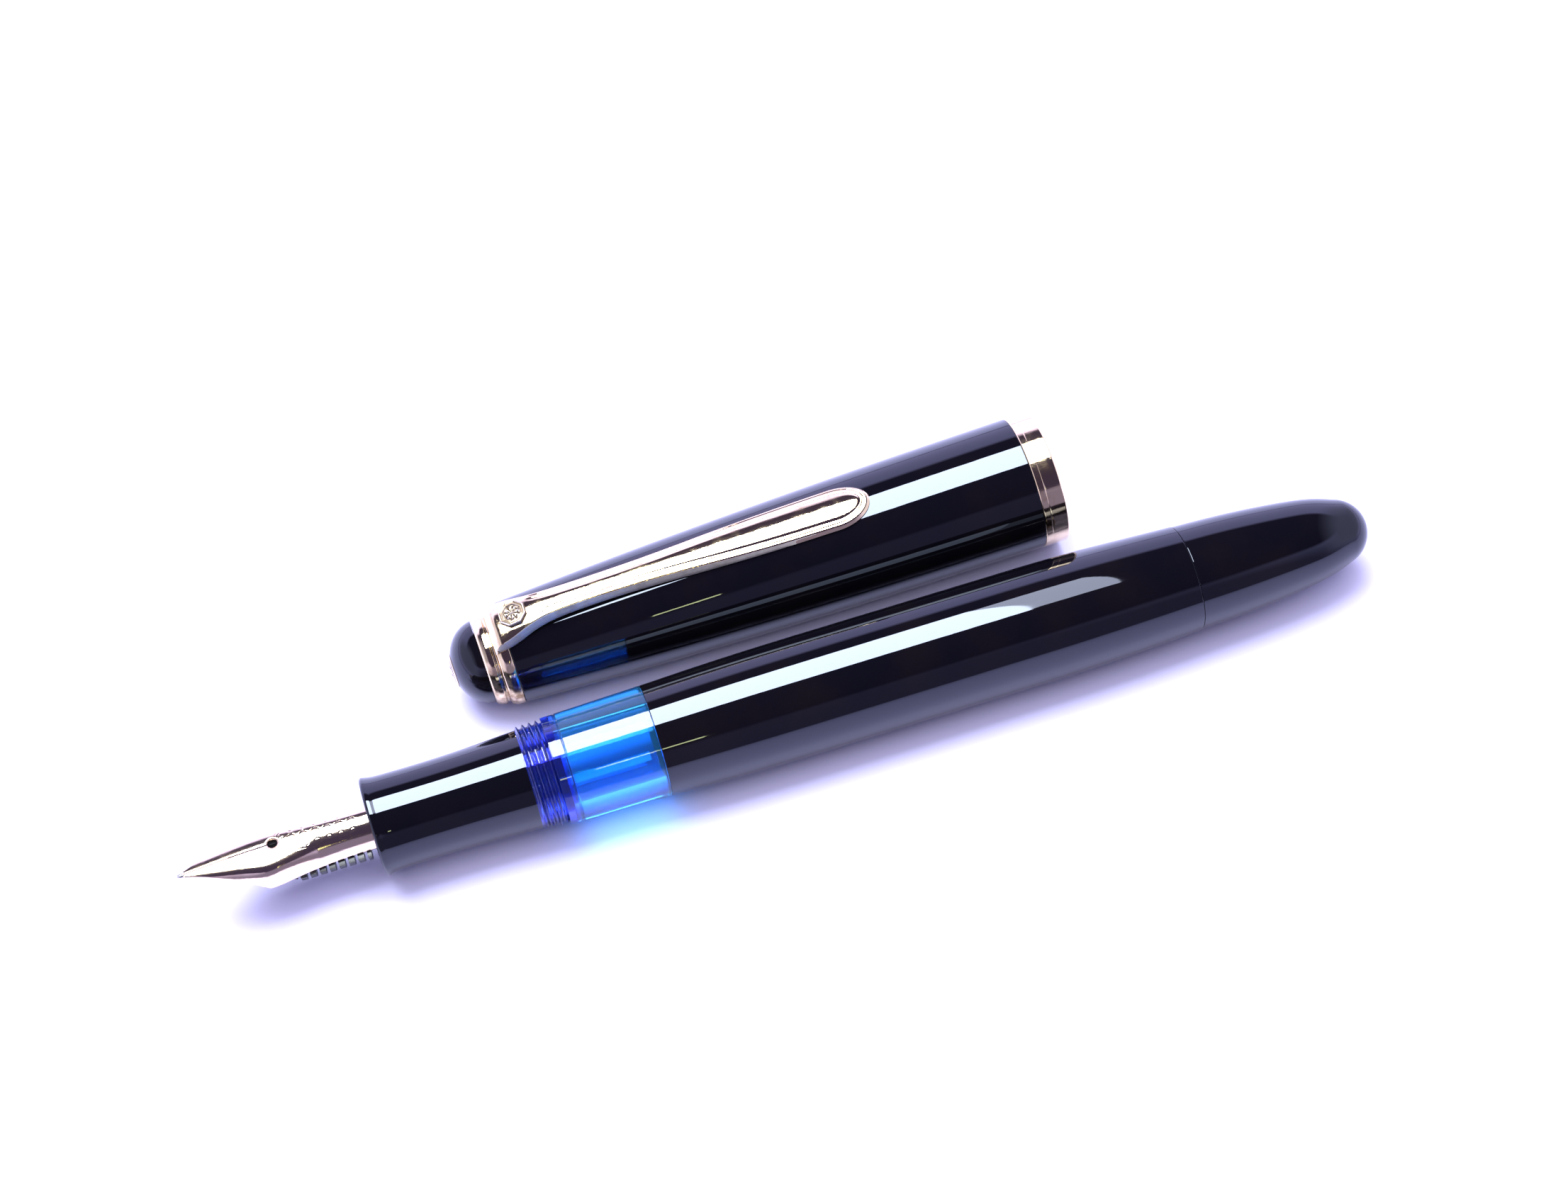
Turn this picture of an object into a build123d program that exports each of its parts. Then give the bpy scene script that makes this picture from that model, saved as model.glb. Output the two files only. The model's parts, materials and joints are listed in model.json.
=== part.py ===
"""Piston-filling fountain pen, uncapped, with its cap lying beside it.

Millimetres, +Z up.  The pen lies along X with its nib towards -X, and rests on
the plane z = 0.  Stations along the pen are measured from the collar line, the
plain shoulder behind the cap thread, and are positive towards the turning knob.
Stations along the cap are measured from the finial side of its clip ring.
"""
from build123d import *
import math
import os

os.makedirs("parts", exist_ok=True)

# ---- driving dimensions: the pen --------
barrel_radius = 5.86        # the thickest stretch of the barrel
nib_tip = -38.4             # stations along the pen
feed_tip = -33.3
nib_shoulder = -30.2
breather = -28.9
section_front = -19.6
thread_front = -4.0
thread_back = -1.35
window_back = 8.75
barrel_back = 63.5
knob_tip = 82.7

collar_radius = 5.34
window_radius = 5.56        # where the clear window meets the black barrel
thread_root = 4.90
thread_crest = 5.24
thread_pitch = 0.66
lip_radius = 4.90
waist_radius = 4.63
nib_radius = 2.42           # outside of the nib where it enters the grip
nib_sheet = 0.32
chamber_bore = 3.60
sleeve_bore = 4.62
rod_radius = 1.40
rod_flat = 1.12             # from the rod's axis to each of its two flats
seat_clearance = 0.03       # between pieces that stay together
running_clearance = 0.05    # between pieces that turn or slide

# ---- driving dimensions: the piston drive --------
piston_face = 30.0          # front of the retracted piston
chamber_back = 43.0
drive_front = 46.0          # front of the turning nut
retainer_front = 51.0
insert_front = 53.5
square_half = 1.85          # half the drive nut's square tail
tail_back = 70.0
rod_back = 77.0

# ---- driving dimensions: the cap --------
cap_gap_back = 4.8          # the ring lies this far nib-side of the collar line
cap_offset = 14.57          # from the pen's axis to the cap's, at the ring
cap_yaw = 0.71              # degrees
cap_tilt = 1.8              # degrees, the mouth end is the higher
cap_height = 5.36           # the cap's axis at the ring
finial_tip = -2.95          # stations along the cap
ring_back = 2.82
band_front = 56.9
cap_mouth = 59.5
ring_radius = 5.2
band_radius = 6.79
mouth_bore = 5.95
cap_thread_front = 40.4
cap_thread_back = 43.1
cap_thread_minor = 5.0
liner_mouth = 24.9
liner_radius = 4.42
liner_bore = 3.75
stud_radius = 1.2
clip_end = 40.7

# ---- frames --------
pen_length = knob_tip - nib_tip
collar_x = pen_length / 2 - knob_tip
cap_reach = cap_offset + cap_mouth * math.sin(math.radians(cap_yaw)) + band_radius
pen_y = barrel_radius - (barrel_radius + cap_reach) / 2

pen = Plane(origin=(collar_x, pen_y, barrel_radius), x_dir=(1, 0, 0), z_dir=(0, -1, 0))
pen_axis = Axis(pen.origin, pen.x_dir)

yaw = math.radians(cap_yaw)
tilt = math.radians(cap_tilt)
cap = Plane(
    origin=(collar_x - cap_gap_back, pen_y + cap_offset, cap_height),
    x_dir=(math.cos(tilt) * math.cos(yaw), math.cos(tilt) * math.sin(yaw), math.sin(tilt)),
    z_dir=(math.sin(yaw), -math.cos(yaw), 0),
)
cap_axis = Axis(cap.origin, cap.x_dir)


def across(frame, station):
    """The plane square to the frame's axis at a station, its y axis upwards."""
    return Plane(
        origin=frame.from_local_coords((station, 0, 0)),
        x_dir=frame.z_dir,
        z_dir=-frame.x_dir,
    )


def plan(frame, height=0.0):
    """A lengthways plane seen from above, its x along the axis, y to the far side."""
    return Plane(
        origin=frame.from_local_coords((0, height, 0)),
        x_dir=frame.x_dir,
        z_dir=frame.y_dir,
    )


def ridges(front, back, root, crest, pitch):
    """Points of a thread's profile, a crest in the middle of each pitch."""
    count = round((back - front) / pitch)
    step = (back - front) / count
    points = [(front, root)]
    for turn in range(count):
        start = front + turn * step
        points.append((start + 0.35 * step, crest))
        points.append((start + 0.60 * step, crest))
        points.append((start + step, root))
    return points


# ---- grip section --------
collar_seat = 3.95          # bore that the nib collar screws into
section_tenon = 4.20
tenon_back = -0.6

with BuildPart() as grip_section:
    with BuildSketch(pen):
        with BuildLine():
            Polyline(
                (thread_front, 4.90),
                (thread_front, section_tenon),
                (tenon_back, section_tenon),
                (tenon_back, chamber_bore),
                (-5.6, chamber_bore),
                (-6.0, collar_seat),
                (section_front + 0.1, collar_seat),
                (section_front, 4.05),
                (section_front, lip_radius - 0.35),
            )
            ThreePointArc(
                (section_front, lip_radius - 0.35),
                (section_front + 0.10, lip_radius - 0.10),
                (section_front + 0.35, lip_radius),
            )
            Spline(
                (section_front + 0.35, lip_radius),
                (section_front + 1.3, 4.75),
                (-15.6, waist_radius),
                (-10.0, 4.67),
                (thread_front, 4.90),
            )
        make_face()
    revolve(axis=pen_axis)
grip_section.part.label = "grip_section"
export_step(grip_section.part, "parts/grip_section.step")

# ---- nib collar: the threaded holder of nib and feed --------
collar_front = section_front + 0.9
nib_back = -9.0

with BuildPart() as nib_collar:
    with BuildSketch(pen):
        with BuildLine():
            Polyline(
                (collar_front, nib_radius + seat_clearance),
                (collar_front, collar_seat - 0.35),
                (collar_front + 0.3, collar_seat - seat_clearance),
                (-6.1, collar_seat - seat_clearance),
                (-6.1, nib_radius + seat_clearance),
                close=True,
            )
        make_face()
    revolve(axis=pen_axis)
nib_collar.part.label = "nib_collar"
export_step(nib_collar.part, "parts/nib_collar.step")

# ---- nib --------
# Each row is a section across the nib: its station, the radius and centre height of
# its bend, and half the angle that it wraps.
nib_rows = (
    (nib_back, nib_radius, 0.0, 88),
    (section_front, nib_radius, 0.0, 88),
    (-24.5, 2.62, -0.05, 86),
    (-28.2, 3.20, -0.42, 79),
    (nib_shoulder, 3.55, -0.80, 72),
    (-32.2, 3.45, -0.85, 47),
    (-34.6, 3.10, -0.75, 29),
    (-36.6, 2.80, -0.68, 15),
    (nib_tip + 0.55, 2.60, -0.62, 7),
)
slit_width = 0.10
breather_radius = 0.5

with BuildPart() as nib:
    for station, bend, centre, half in nib_rows:
        with BuildSketch(across(pen, station)):
            with BuildLine():
                inner = bend - nib_sheet
                outside = CenterArc((0, centre), bend, 90 - half, 2 * half)
                inside = CenterArc((0, centre), inner, 90 - half, 2 * half)
                Line(outside @ 0, inside @ 0)
                Line(outside @ 1, inside @ 1)
            make_face()
    loft(ruled=True)
    with BuildSketch(plan(pen)):
        with Locations((breather, 0)):
            Circle(breather_radius)
        with Locations(((breather + nib_tip - 1) / 2, 0)):
            Rectangle(breather - nib_tip + 1, slit_width)
    extrude(amount=6, mode=Mode.SUBTRACT)
nib.part.label = "nib"
export_step(nib.part, "parts/nib.step")

# ---- tipping: the two hard pellets that touch the paper --------
pellet_radius = 0.36
tip_height = 1.82           # middle of the nib's point above the pen's axis

with BuildPart() as nib_tipping:
    with BuildSketch(pen):
        with BuildLine():
            arc = CenterArc((nib_tip + pellet_radius, tip_height), pellet_radius, 90, 180)
            Line(arc @ 0, (nib_tip + 0.5, tip_height + pellet_radius))
            Line((nib_tip + 0.5, tip_height + pellet_radius), (nib_tip + 0.5, tip_height - pellet_radius))
            Line((nib_tip + 0.5, tip_height - pellet_radius), arc @ 1)
        make_face()
    extrude(amount=0.3, both=True)
    with BuildSketch(pen):
        with Locations((nib_tip, tip_height)):
            Rectangle(3, 3)
    extrude(amount=slit_width / 2, both=True, mode=Mode.SUBTRACT)
nib_tipping.part.label = "nib_tipping"
export_step(nib_tipping.part, "parts/nib_tipping.step")

# ---- feed: ink channel above, a comb of fins below --------
feed_radius = nib_radius - nib_sheet - seat_clearance
fin_radius = 2.95
fin_front = -28.0
fin_back = -20.3
fin_pitch = 0.95
fin_gap = 0.42
channel_width = 0.5

with BuildPart() as feed:
    with BuildSketch(pen):
        with BuildLine():
            Polyline((feed_tip, 0), (nib_back + 2.0, 0), (nib_back + 2.0, feed_radius))
            Spline(
                (nib_back + 2.0, feed_radius),
                (section_front, feed_radius),
                (-28.0, feed_radius + 0.02),
                (-31.4, 1.72),
                (feed_tip, 0.95),
            )
            Line((feed_tip, 0.95), (feed_tip, 0))
        make_face()
    revolve(axis=pen_axis)
    with BuildSketch(plan(pen)):
        with BuildLine():
            Polyline(
                (fin_front, -1.2),
                (fin_front + 0.4, 0.35 - fin_radius),
                (fin_front + 1.2, -fin_radius),
                (fin_back, -fin_radius),
                (fin_back, -1.2),
                close=True,
            )
        make_face()
        gaps = int((fin_back - fin_front) / fin_pitch)
        with Locations([(fin_back - fin_pitch * (turn + 0.6), -2.4) for turn in range(gaps)]):
            Rectangle(fin_gap, 1.3, mode=Mode.SUBTRACT)
    revolve(axis=pen_axis, revolution_arc=180)
    with BuildSketch(plan(pen, 1.1)):
        with Locations(((feed_tip + nib_back) / 2, 0)):
            Rectangle(nib_back - feed_tip + 8, channel_width)
    extrude(amount=3, mode=Mode.SUBTRACT)
feed.part.label = "feed"
export_step(feed.part, "parts/feed.step")

# ---- ink chamber: clear tube with the cap thread, collar and window --------
spigot = sleeve_bore - seat_clearance

with BuildPart() as ink_chamber:
    with BuildSketch(pen):
        with BuildLine():
            Polyline(
                (thread_front, section_tenon + seat_clearance),
                *ridges(thread_front, thread_back, thread_root, thread_crest, thread_pitch),
                (thread_back, collar_radius),
                (0, collar_radius),
                (0.15, collar_radius + 0.02),
                (window_back, window_radius),
                (window_back, spigot),
                (chamber_back, spigot),
                (chamber_back, chamber_bore),
                (tenon_back + seat_clearance, chamber_bore),
                (tenon_back + seat_clearance, section_tenon + seat_clearance),
                close=True,
            )
        make_face()
    revolve(axis=pen_axis)
ink_chamber.part.label = "ink_chamber"
export_step(ink_chamber.part, "parts/ink_chamber.step")

# ---- barrel sleeve --------
straight_front = 25.0
straight_back = 49.0

with BuildPart() as barrel_sleeve:
    with BuildSketch(pen):
        with BuildLine():
            Spline(
                (window_back + 0.02, window_radius),
                (15.5, 5.76),
                (straight_front, barrel_radius),
                tangents=((1, 0.045), (1, 0)),
            )
            Line((straight_front, barrel_radius), (straight_back, barrel_radius))
            Spline(
                (straight_back, barrel_radius),
                (56.5, 5.68),
                (barrel_back, 5.36),
                tangents=((1, 0), (1, -0.055)),
            )
            Polyline(
                (barrel_back, 5.36),
                (barrel_back, sleeve_bore),
                (window_back + 0.02, sleeve_bore),
                (window_back + 0.02, window_radius),
            )
        make_face()
    revolve(axis=pen_axis)
barrel_sleeve.part.label = "barrel_sleeve"
export_step(barrel_sleeve.part, "parts/barrel_sleeve.step")

# ---- rod guide: the keyed bush that keeps the piston rod from turning --------
guide_front = chamber_back + 0.1
guide_back = drive_front - running_clearance

with BuildPart() as rod_guide:
    with BuildSketch(across(pen, guide_back)):
        Circle(spigot)
    extrude(amount=guide_back - guide_front)
    with BuildSketch(across(pen, guide_back + 1)):
        Circle(rod_radius + running_clearance)
        Rectangle(4, 2 * (rod_flat + running_clearance), mode=Mode.INTERSECT)
    extrude(amount=guide_back - guide_front + 2, mode=Mode.SUBTRACT)
rod_guide.part.label = "rod_guide"
export_step(rod_guide.part, "parts/rod_guide.step")

# ---- filler housing: screwed into the back of the barrel, holds the turning nut --------
nut_bore = 3.35
insert_bore = 3.95

with BuildPart() as filler_housing:
    with BuildSketch(pen):
        with BuildLine():
            Polyline(
                (guide_back + 0.01, nut_bore),
                (guide_back + 0.01, spigot),
                (barrel_back - 0.1, spigot),
                (barrel_back - 0.1, insert_bore),
                (retainer_front, insert_bore),
                (retainer_front, nut_bore),
                close=True,
            )
        make_face()
    revolve(axis=pen_axis)
filler_housing.part.label = "filler_housing"
export_step(filler_housing.part, "parts/filler_housing.step")

# ---- drive nut: turns in the housing and screws the rod along --------
flange_back = 50.4
neck_radius = 2.60
neck_back = insert_front - 0.4

with BuildPart() as drive_nut:
    with BuildSketch(pen):
        with BuildLine():
            Polyline(
                (drive_front, rod_radius + running_clearance),
                (drive_front, nut_bore - running_clearance),
                (flange_back, nut_bore - running_clearance),
                (flange_back, neck_radius),
                (neck_back, neck_radius),
                (neck_back, rod_radius + running_clearance),
                close=True,
            )
        make_face()
    revolve(axis=pen_axis)
    with BuildSketch(across(pen, tail_back)):
        RectangleRounded(2 * square_half, 2 * square_half, 0.3)
        Circle(rod_radius + running_clearance, mode=Mode.SUBTRACT)
    extrude(amount=tail_back - neck_back)
drive_nut.part.label = "drive_nut"
export_step(drive_nut.part, "parts/drive_nut.step")

# ---- thrust washer and nut retainer --------
with BuildPart() as thrust_washer:
    with BuildSketch(across(pen, retainer_front - seat_clearance)):
        Circle(nut_bore - seat_clearance)
        Circle(neck_radius + running_clearance, mode=Mode.SUBTRACT)
    extrude(amount=retainer_front - flange_back - 2 * running_clearance)
thrust_washer.part.label = "thrust_washer"
export_step(thrust_washer.part, "parts/thrust_washer.step")

with BuildPart() as nut_retainer:
    with BuildSketch(across(pen, retainer_front + 1.6)):
        Circle(insert_bore - 0.01)
        Circle(neck_radius + running_clearance, mode=Mode.SUBTRACT)
        with PolarLocations(3.45, 2):
            Circle(0.35, mode=Mode.SUBTRACT)
    extrude(amount=1.6)
nut_retainer.part.label = "nut_retainer"
export_step(nut_retainer.part, "parts/nut_retainer.step")

# ---- turning knob --------
knob_front = barrel_back + 0.06
insert_back = 74.0
insert_radius = insert_bore - running_clearance
tip_bend = 3.39             # radius of the knob's rounded end
tip_angle = 73

with BuildPart() as turning_knob:
    with BuildSketch(pen):
        with BuildLine():
            tip_arc = CenterArc((knob_tip - tip_bend, 0), tip_bend, 0, tip_angle)
            Polyline(
                (knob_tip, 0),
                (rod_back + 0.9, 0),
                (rod_back + 0.9, 1.9),
                (insert_back + seat_clearance, 1.9),
                (insert_back + seat_clearance, insert_radius),
                (knob_front, insert_radius),
                (knob_front, 5.30),
            )
            Spline(
                (knob_front, 5.30),
                (67.9, 5.13),
                (71.6, 4.86),
                (75.3, 4.46),
                (78.2, 3.93),
                tip_arc @ 1,
            )
        make_face()
    revolve(axis=pen_axis)
turning_knob.part.label = "turning_knob"
export_step(turning_knob.part, "parts/turning_knob.step")

# ---- knob insert: screws into the housing, slides on the nut's square tail --------
with BuildPart() as knob_insert:
    with BuildSketch(across(pen, insert_back)):
        Circle(insert_radius)
        RectangleRounded(
            2 * (square_half + running_clearance),
            2 * (square_half + running_clearance),
            0.25,
            mode=Mode.SUBTRACT,
        )
    extrude(amount=insert_back - insert_front)
    front_edge = knob_insert.edges().filter_by(GeomType.CIRCLE).sort_by(Axis.X)[0]
    chamfer(front_edge, 0.3)
knob_insert.part.label = "knob_insert"
export_step(knob_insert.part, "parts/knob_insert.step")

# ---- piston: rod, head, two-lip seal and the clip that holds the seal --------
head_radius = chamber_bore - 0.15
head_length = 7.0
groove_front = piston_face + 2.0
groove_back = piston_face + 5.0
groove_radius = 2.70
socket_depth = 3.0
rod_front = piston_face + head_length - socket_depth
pin_radius = 0.40           # cross pin that ties the rod to the head
pin_setback = 1.9           # from the rod's front end to the pin
pin_clearance = 0.01

with BuildPart() as piston_head:
    with BuildSketch(pen):
        with BuildLine():
            Polyline(
                (piston_face, 0),
                (piston_face, head_radius - 0.5),
                (piston_face + 0.5, head_radius),
                (groove_front, head_radius),
                (groove_front, groove_radius),
                (groove_back, groove_radius),
                (groove_back, head_radius),
                (piston_face + head_length, head_radius),
                (piston_face + head_length, rod_radius + seat_clearance),
                (rod_front, rod_radius + seat_clearance),
                (rod_front, 0),
                close=True,
            )
        make_face()
    revolve(axis=pen_axis)
    with BuildSketch(pen):
        with Locations((rod_front + pin_setback, 0)):
            Circle(pin_radius + pin_clearance)
    extrude(amount=head_radius + 1, both=True, mode=Mode.SUBTRACT)
piston_head.part.label = "piston_head"
export_step(piston_head.part, "parts/piston_head.step")

seal_radius = chamber_bore - running_clearance

with BuildPart() as piston_seal:
    with BuildSketch(pen):
        with BuildLine():
            Polyline(
                (groove_front + 0.05, groove_radius + seat_clearance),
                (groove_front + 0.05, seal_radius),
                (groove_front + 0.75, seal_radius),
                (groove_front + 1.10, seal_radius - 0.35),
                (groove_back - 1.10, seal_radius - 0.35),
                (groove_back - 0.75, seal_radius),
                (groove_back - 0.05, seal_radius),
                (groove_back - 0.05, groove_radius + seat_clearance),
                close=True,
            )
        make_face()
    revolve(axis=pen_axis)
piston_seal.part.label = "piston_seal"
export_step(piston_seal.part, "parts/piston_seal.step")

with BuildPart() as piston_rod:
    with BuildSketch(across(pen, rod_back)):
        Circle(rod_radius)
        Rectangle(4, 2 * rod_flat, mode=Mode.INTERSECT)
    extrude(amount=rod_back - rod_front - seat_clearance)
    rod_end = piston_rod.faces().sort_by(Axis.X)[-1]
    chamfer(rod_end.edges(), 0.25)
    with BuildSketch(pen):
        with Locations((rod_front + pin_setback, 0)):
            Circle(pin_radius + pin_clearance)
    extrude(amount=rod_radius + 1, both=True, mode=Mode.SUBTRACT)
piston_rod.part.label = "piston_rod"
export_step(piston_rod.part, "parts/piston_rod.step")

with BuildPart() as rod_pin:
    with BuildSketch(pen):
        with Locations((rod_front + pin_setback, 0)):
            Circle(pin_radius)
    extrude(amount=head_radius - 0.3, both=True)
rod_pin.part.label = "rod_pin"
export_step(rod_pin.part, "parts/rod_pin.step")

# ---- cap tube --------
crown_front = ring_back + 0.03
crown_back = 4.9
liner_seat = liner_radius + seat_clearance
thread_relief = 5.32
spigot_radius = 6.38


def cap_outline(gap=0.0):
    """Outer line of the cap tube from the clip ring to the band."""
    return Spline(
        (crown_front, ring_radius - 0.02 + gap),
        (12.0, 5.66 + gap),
        (24.0, 6.14 + gap),
        (40.0, 6.56 + gap),
        (band_front, band_radius - 0.04 + gap),
        tangents=((1, 0.058), (1, 0.010)),
    )


cap_thread = ridges(cap_thread_front, cap_thread_back, thread_relief, cap_thread_minor, thread_pitch)

with BuildPart() as cap_tube:
    with BuildSketch(cap):
        with BuildLine():
            cap_outline()
            Polyline(
                (band_front, band_radius - 0.04),
                (band_front, spigot_radius),
                (cap_mouth - 0.02, spigot_radius),
                (cap_mouth - 0.02, mouth_bore + 0.12),
                (cap_mouth - 0.14, mouth_bore),
                (cap_thread_back + 0.3, mouth_bore),
                *reversed(cap_thread),
                (liner_mouth + 0.3, thread_relief),
                (liner_mouth + 0.3, liner_seat),
                (crown_back, liner_seat),
                (crown_back, stud_radius + seat_clearance),
                (crown_front, stud_radius + seat_clearance),
                (crown_front, ring_radius - 0.02),
            )
        make_face()
    revolve(axis=cap_axis)
cap_tube.part.label = "cap_tube"
export_step(cap_tube.part, "parts/cap_tube.step")

# ---- lip band --------
with BuildPart() as cap_band:
    with BuildSketch(cap):
        with BuildLine():
            Polyline(
                (band_front + 0.02, spigot_radius + seat_clearance),
                (band_front + 0.02, band_radius - 0.06),
                (band_front + 0.12, band_radius),
                (cap_mouth - 0.25, band_radius),
                (cap_mouth, band_radius - 0.25),
                (cap_mouth, spigot_radius + seat_clearance),
                close=True,
            )
        make_face()
    revolve(axis=cap_axis)
cap_band.part.label = "cap_band"
export_step(cap_band.part, "parts/cap_band.step")

# ---- inner cap: closes on the grip's front edge and keeps the nib from drying --------
liner_wall = 1.0
liner_front = crown_back + seat_clearance

with BuildPart() as inner_cap:
    with BuildSketch(cap):
        with BuildLine():
            Polyline(
                (liner_front, stud_radius + seat_clearance),
                (liner_front, liner_radius),
                (liner_mouth, liner_radius),
                (liner_mouth, liner_bore + 0.2),
                (liner_mouth - 0.2, liner_bore),
                (liner_front + liner_wall, liner_bore),
                (liner_front + liner_wall, stud_radius + seat_clearance),
                close=True,
            )
        make_face()
    revolve(axis=cap_axis)
inner_cap.part.label = "inner_cap"
export_step(inner_cap.part, "parts/inner_cap.step")

# ---- clip ring: two raised bands with a groove between them --------
finial_spigot = 2.9

with BuildPart() as clip_ring:
    with BuildSketch(cap):
        with BuildLine():
            Polyline(
                (0, finial_spigot + seat_clearance),
                (0, 4.27),
                (0.18, 4.52),
                (1.02, 4.78),
                (1.14, 4.62),
                (1.34, 4.64),
                (1.52, 4.96),
                (2.10, 5.17),
                (2.60, ring_radius),
                (ring_back, ring_radius - 0.06),
                (ring_back, finial_spigot + seat_clearance),
                close=True,
            )
        make_face()
    revolve(axis=cap_axis)
clip_ring.part.label = "clip_ring"
export_step(clip_ring.part, "parts/clip_ring.step")

# ---- finial, its badge, and the stud that clamps the cap's top together --------
badge_radius = 1.72
badge_depth = 0.35
stud_front = -1.6

with BuildPart() as finial:
    with BuildSketch(cap):
        with BuildLine():
            Polyline(
                (stud_front, 0),
                (finial_tip + badge_depth, 0),
                (finial_tip + badge_depth, badge_radius + seat_clearance),
                (finial_tip + 0.12, badge_radius + seat_clearance),
            )
            Spline(
                (finial_tip + 0.12, badge_radius + seat_clearance),
                (-2.10, 3.12),
                (-1.05, 3.90),
                (-seat_clearance, 4.26),
                tangents=((0.10, 1), (1, 0.14)),
            )
            Polyline(
                (-seat_clearance, 4.26),
                (-seat_clearance, finial_spigot),
                (ring_back - seat_clearance, finial_spigot),
                (ring_back - seat_clearance, stud_radius + seat_clearance),
                (stud_front, stud_radius + seat_clearance),
                (stud_front, 0),
            )
        make_face()
    revolve(axis=cap_axis)
finial.part.label = "finial"
export_step(finial.part, "parts/finial.step")

with BuildPart() as finial_badge:
    with BuildSketch(cap):
        with BuildLine():
            Polyline(
                (finial_tip + badge_depth - seat_clearance, 0),
                (finial_tip + badge_depth - seat_clearance, badge_radius),
                (finial_tip + 0.14, badge_radius),
                (finial_tip + 0.02, badge_radius - 0.25),
            )
            Spline(
                (finial_tip + 0.02, badge_radius - 0.25),
                (finial_tip, 0),
                tangents=((-0.03, -1), (0, -1)),
            )
            Line((finial_tip, 0), (finial_tip + badge_depth - seat_clearance, 0))
        make_face()
    revolve(axis=cap_axis)
finial_badge.part.label = "finial_badge"
export_step(finial_badge.part, "parts/finial_badge.step")

washer_front = liner_front + liner_wall + seat_clearance
washer_thickness = 0.3
nut_front = washer_front + washer_thickness + seat_clearance
nut_back = nut_front + 1.4

with BuildPart() as finial_stud:
    with BuildSketch(across(cap, nut_back + 0.5)):
        Circle(stud_radius)
    extrude(amount=nut_back + 0.5 - stud_front - seat_clearance)
    chamfer(finial_stud.faces().sort_by(cap_axis)[-1].edges(), 0.25)
finial_stud.part.label = "finial_stud"
export_step(finial_stud.part, "parts/finial_stud.step")

with BuildPart() as stud_washer:
    with BuildSketch(across(cap, washer_front + washer_thickness)):
        Circle(2.9)
        Circle(stud_radius + seat_clearance, mode=Mode.SUBTRACT)
    extrude(amount=washer_thickness)
stud_washer.part.label = "stud_washer"
export_step(stud_washer.part, "parts/stud_washer.step")

with BuildPart() as stud_nut:
    with BuildSketch(across(cap, nut_back)):
        RegularPolygon(radius=2.2, side_count=6, major_radius=False)
        Circle(stud_radius + seat_clearance, mode=Mode.SUBTRACT)
    extrude(amount=nut_back - nut_front)
stud_nut.part.label = "stud_nut"
export_step(stud_nut.part, "parts/stud_nut.step")

# ---- clip: a sprung blade that stands on the ring and bears on the cap near its end --------
clip_front = 1.45
clip_gap = 0.14             # between the clip's foot and the ring and cap it curves over
foot_back = 6.2
foot_half_width = 2.42
badge_station = 4.2
badge_height = 6.72
badge_tilt = 10

with BuildPart() as clip:
    with BuildSketch(cap):
        with BuildLine():
            Spline(
                (clip_front, 6.10),
                (4.2, 6.67),
                (foot_back, 6.92),
                (10.0, 7.06),
                (17.0, 7.08),
                (26.0, 7.08),
                (33.0, 7.06),
                (39.3, 7.00),
                tangents=((1, 0.22), (1, 0)),
            )
            ThreePointArc((39.3, 7.00), (40.4, 6.94), (clip_end, 6.75))
            Polyline((clip_end, 6.75), (40.1, 6.72), (34.5, 6.64))
            Spline(
                (34.5, 6.64),
                (26.0, 6.50),
                (17.0, 6.36),
                (10.0, 6.28),
                (foot_back, 6.16),
                tangents=((-1, 0), (-1, -0.1)),
            )
            Polyline((foot_back, 6.16), (foot_back - 0.6, 4.4), (clip_front, 4.4), (clip_front, 6.10))
        make_face()
    extrude(amount=3, both=True)
    with BuildSketch(plan(cap)):
        with BuildLine():
            foot = Line((clip_front, foot_half_width), (3.4, foot_half_width - 0.20))
            waist = Spline(foot @ 1, (4.6, 1.92), (6.4, 1.54), (9.0, 1.32), (12.0, 1.30))
            blade = Spline(waist @ 1, (20.0, 1.50), (25.0, 1.80), (30.0, 2.04), (37.2, 2.20))
            nose = ThreePointArc(blade @ 1, (39.6, 1.60), (clip_end, 0))
            for edge in (foot, waist, blade, nose):
                mirror(edge, about=Plane.XZ)
            Line((clip_front, foot_half_width), (clip_front, -foot_half_width))
        make_face()
    extrude(amount=9, mode=Mode.INTERSECT)
    with BuildSketch(cap):
        with BuildLine():
            cap_outline(clip_gap)
            Polyline(
                (band_front, band_radius - 0.04 + clip_gap),
                (band_front, 0),
                (1, 0),
                (1, ring_radius - 0.02 + clip_gap),
                (crown_front, ring_radius - 0.02 + clip_gap),
            )
        make_face()
    revolve(axis=cap_axis, mode=Mode.SUBTRACT)
clip.part.label = "clip"
export_step(clip.part, "parts/clip.step")

badge_plane = Plane(
    origin=cap.from_local_coords((badge_station, badge_height, 0)),
    x_dir=-cap.z_dir,
    z_dir=(
        cap.y_dir * math.cos(math.radians(badge_tilt)) - cap.x_dir * math.sin(math.radians(badge_tilt))
    ),
)

with BuildPart() as clip_badge:
    with BuildSketch(badge_plane):
        RegularPolygon(radius=1.38, side_count=8, major_radius=False, rotation=22.5)
    extrude(amount=0.32)
    chamfer(clip_badge.faces().sort_by(Axis.Z)[-1].edges(), 0.15)
clip_badge.part.label = "clip_badge"
export_step(clip_badge.part, "parts/clip_badge.step")
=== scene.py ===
# A piston-filling fountain pen and its cap, in polished black resin, clear blue resin and gold.
import json
import math

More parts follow.
